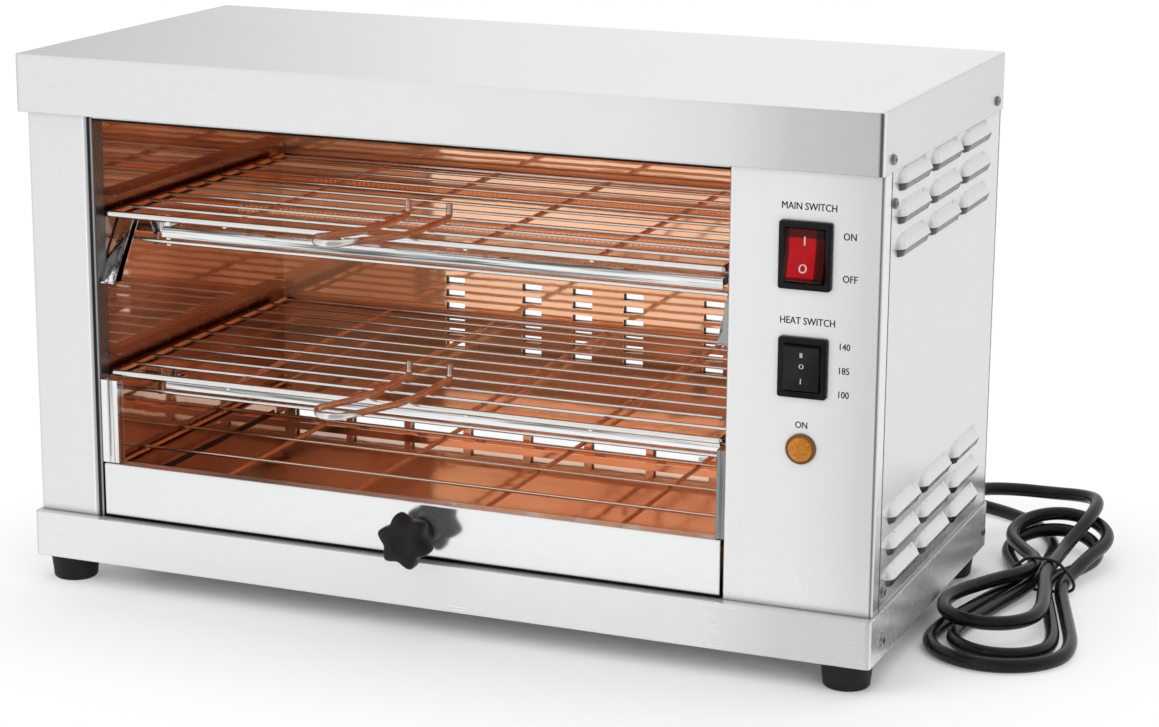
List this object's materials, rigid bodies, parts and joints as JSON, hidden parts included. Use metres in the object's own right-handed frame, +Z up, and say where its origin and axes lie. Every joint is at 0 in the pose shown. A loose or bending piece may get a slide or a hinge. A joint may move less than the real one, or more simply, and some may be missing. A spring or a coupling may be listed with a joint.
{
  "type": "commercial toaster",
  "caption": "Free-standing steel toaster with two open decks, sliding wire grids with handles, quartz heaters, a crumb tray with a star knob, a control panel and a tied cord.",
  "frame": {"origin": "on the surface the feet stand on, under the middle of the toaster's length and depth with its handles, cord apart", "axes": "+X to the right as seen from the front, +Y to the back, +Z up"},
  "size_m": [0.6374, 0.4537, 0.33],
  "materials": {
    "case_steel": "fine brushed stainless sheet",
    "polished_sheet": "mirror-polished stainless sheet",
    "bright_wire": "bright plated wire",
    "screw_steel": "bright screws",
    "rubber_black": "matt black rubber",
    "black_plastic": "fine matt black plastic",
    "cord_sheath": "dull black rubber sheath",
    "red_rocker": "translucent red rocker",
    "black_rocker": "glossy black rocker",
    "amber_lens": "amber domed lens",
    "quartz": "milky quartz",
    "ceramic": "white ceramic",
    "filament": "dark wound wire",
    "brass": "plain brass",
    "wire_white": "glass-braid sleeved leads",
    "block_white": "white moulded block"
  },
  "bodies": {
    "case": {"bar_brackets": "polished_sheet", "base_pan": "case_steel", "blade_terminals": "brass", "bottom_rack": "bright_wire", "cable_gland": "black_plastic", "casing_screws": "screw_steel", "cavity_ceiling": "polished_sheet", "cavity_floor": "polished_sheet", "cavity_left_wall": "polished_sheet", "cavity_rear_wall": "polished_sheet", "cavity_right_wall": "polished_sheet", "control_fascia": "case_steel", "cord_hank": "cord_sheath", "cord_lead": "cord_sheath", "cord_tail": "cord_sheath", "cord_tie": "cord_sheath", "feet": "rubber_black", "front_lintel": "case_steel", "guard_rods": "bright_wire", "inner_cable": "cord_sheath", "lamp_housing": "black_plastic", "lamp_lens": "amber_lens", "left_front_post": "case_steel", "left_side_panel": "case_steel", "lower_cross_bar": "polished_sheet", "lower_left_runner": "polished_sheet", "lower_right_runner": "polished_sheet", "lower_uprights": "polished_sheet", "main_housing": "black_plastic", "plug_body": "black_plastic", "plug_pins": "brass", "quartz_tubes": "quartz", "rack_ledges": "polished_sheet", "rear_panel": "case_steel", "right_side_panel": "case_steel", "selector_housing": "black_plastic", "strain_relief": "rubber_black", "terminal_block": "block_white", "terminal_screws": "brass", "top_cover": "case_steel", "tube_caps": "ceramic", "tube_filaments": "filament", "upper_braces": "polished_sheet", "upper_cross_bar": "polished_sheet", "upper_left_runner": "polished_sheet", "upper_right_runner": "polished_sheet", "wiring_loom": "wire_white"},
    "upper_shelf": {"upper_grid": "bright_wire", "upper_grid_handle": "bright_wire"},
    "lower_shelf": {"lower_grid": "bright_wire", "lower_grid_handle": "bright_wire"},
    "tray": {"crumb_tray": "polished_sheet", "tray_front": "case_steel", "tray_stud": "screw_steel"},
    "knob": {"tray_knob": "black_plastic"},
    "main_switch": {"main_rocker": "red_rocker"},
    "selector_switch": {"selector_rocker": "black_rocker"}
  },
  "joints": [
    {"name": "upper_shelf_slide", "type": "slide", "parent": "case", "child": "upper_shelf", "axis": [0, -1, 0], "range_m": [0, 0.18]},
    {"name": "lower_shelf_slide", "type": "slide", "parent": "case", "child": "lower_shelf", "axis": [0, -1, 0], "range_m": [0, 0.18]},
    {"name": "crumb_tray_slide", "type": "slide", "parent": "case", "child": "tray", "axis": [0, -1, 0], "range_m": [0, 0.2]},
    {"name": "tray_knob_turn", "type": "hinge", "parent": "tray", "child": "knob", "pos_m": [-0.0085, -0.10015, 0.061], "axis": [0, 1, 0], "continuous": true},
    {"name": "main_switch_rock", "type": "hinge", "parent": "case", "child": "main_switch", "pos_m": [0.2246, -0.08575, 0.247], "axis": [1, 0, 0], "range_deg": [0, 20]},
    {"name": "selector_rock", "type": "hinge", "parent": "case", "child": "selector_switch", "pos_m": [0.2246, -0.08575, 0.184], "axis": [1, 0, 0], "range_deg": [-10, 10]}
  ]
}
